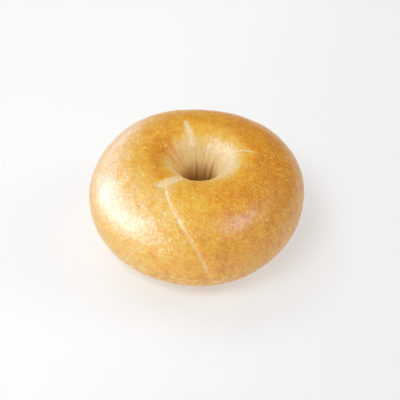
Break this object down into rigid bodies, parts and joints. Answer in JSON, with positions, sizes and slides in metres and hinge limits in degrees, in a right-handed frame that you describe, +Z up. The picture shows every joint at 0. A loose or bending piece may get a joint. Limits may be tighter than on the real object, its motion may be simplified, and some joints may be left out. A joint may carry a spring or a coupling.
{
  "type": "bagel",
  "caption": "Plain baked bagel: a fat ring of dough with a narrow pleated hole, a slanting seam down its front and a flat foot to rest on.",
  "frame": {"origin": "under the middle of the ring's outline, on the surface that its flat foot rests on", "axes": "+Z up, out of the hole's pleated mouth; -Y towards the side with the slanting seam; +X to the right of it"},
  "size_m": [0.1086, 0.1076, 0.0507],
  "materials": {
    "crust": "boiled and baked crust: golden brown with pale specks and blisters, a soft gloss, browner round the lip of the hole and pale cream in the hole, the seam and the creases"
  },
  "bodies": {
    "root": {"bagel": "crust"}
  },
  "joints": []
}
